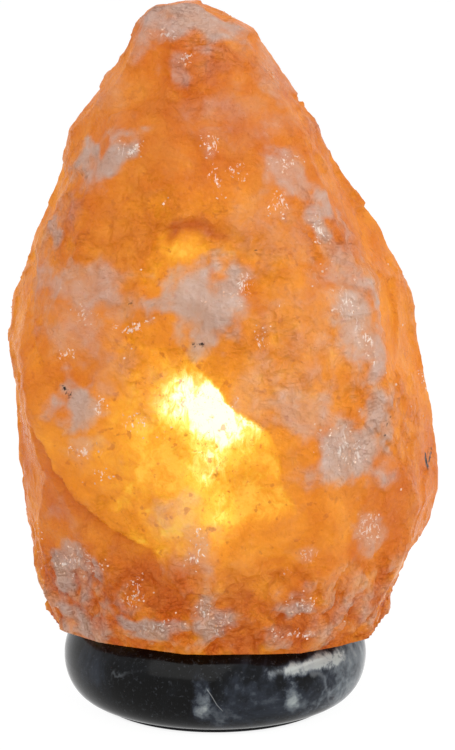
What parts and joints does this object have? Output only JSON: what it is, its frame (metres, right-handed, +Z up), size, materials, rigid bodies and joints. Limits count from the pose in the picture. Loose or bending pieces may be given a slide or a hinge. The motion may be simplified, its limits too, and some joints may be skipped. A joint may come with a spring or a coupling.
{
  "type": "salt crystal lamp",
  "caption": "Rough pink-orange rock salt lump on a round polished dark marble base, lit from a bored cavity by a small screw bulb in a spring-clip holder that pulls out below.",
  "frame": {"origin": "on the marble base's axis, in the plane of the felt pad that the lamp stands on", "axes": "+Z up along the base's, bore's and bulb's common axis; the pictured front faces -Y; +X is to the right in the picture; the cable slot leaves to +Y"},
  "size_m": [0.1446, 0.1147, 0.2362],
  "materials": {
    "felt": "matte",
    "marble": "polished",
    "glue": null,
    "rock_salt": "satin",
    "spring_steel": null,
    "plated_steel": null,
    "black_plastic": "satin",
    "white_ceramic": "matte",
    "brass": null,
    "solder": null,
    "black_glass": null,
    "bulb_cap_metal": null,
    "clear_glass": null,
    "lead_metal": null,
    "tungsten": null
  },
  "bodies": {
    "lamp": {"felt_pad": "felt", "marble_base": "marble", "adhesive_ring": "glue", "salt_crystal": "rock_salt"},
    "holder": {"spring_clip": "spring_steel", "nipple": "plated_steel", "lock_washer": "plated_steel", "nipple_nut": "plated_steel", "cord_bush": "black_plastic", "holder_cap": "black_plastic", "holder_shell": "black_plastic", "contact_block": "white_ceramic", "terminal_screws": "brass", "centre_contact": "brass", "threaded_sleeve": "brass"},
    "bulb_tip": {"bulb_contact": "solder"},
    "bulb": {"bulb_insulator": "black_glass", "bulb_cap": "bulb_cap_metal", "bulb_glass": "clear_glass", "bulb_stem": "clear_glass", "lead_wires": "lead_metal", "filament_support": "lead_metal", "filament": "tungsten"}
  },
  "joints": [
    {"name": "holder_slide", "type": "slide", "parent": "lamp", "child": "holder", "axis": [0, 0, -1], "range_m": [0, 0.115]},
    {"name": "bulb_lift", "type": "slide", "parent": "holder", "child": "bulb_tip", "axis": [0, 0, 1], "range_m": [0, 0.01269]},
    {"name": "bulb_turn", "type": "hinge", "parent": "bulb_tip", "child": "bulb", "pos_m": [0, 0, 0.0559], "axis": [0, 0, 1], "range_deg": [0, 1620]}
  ],
  "couplings": [
    {"joint": "bulb_turn", "follows": "bulb_lift", "rad_per_m": 2228.1}
  ]
}
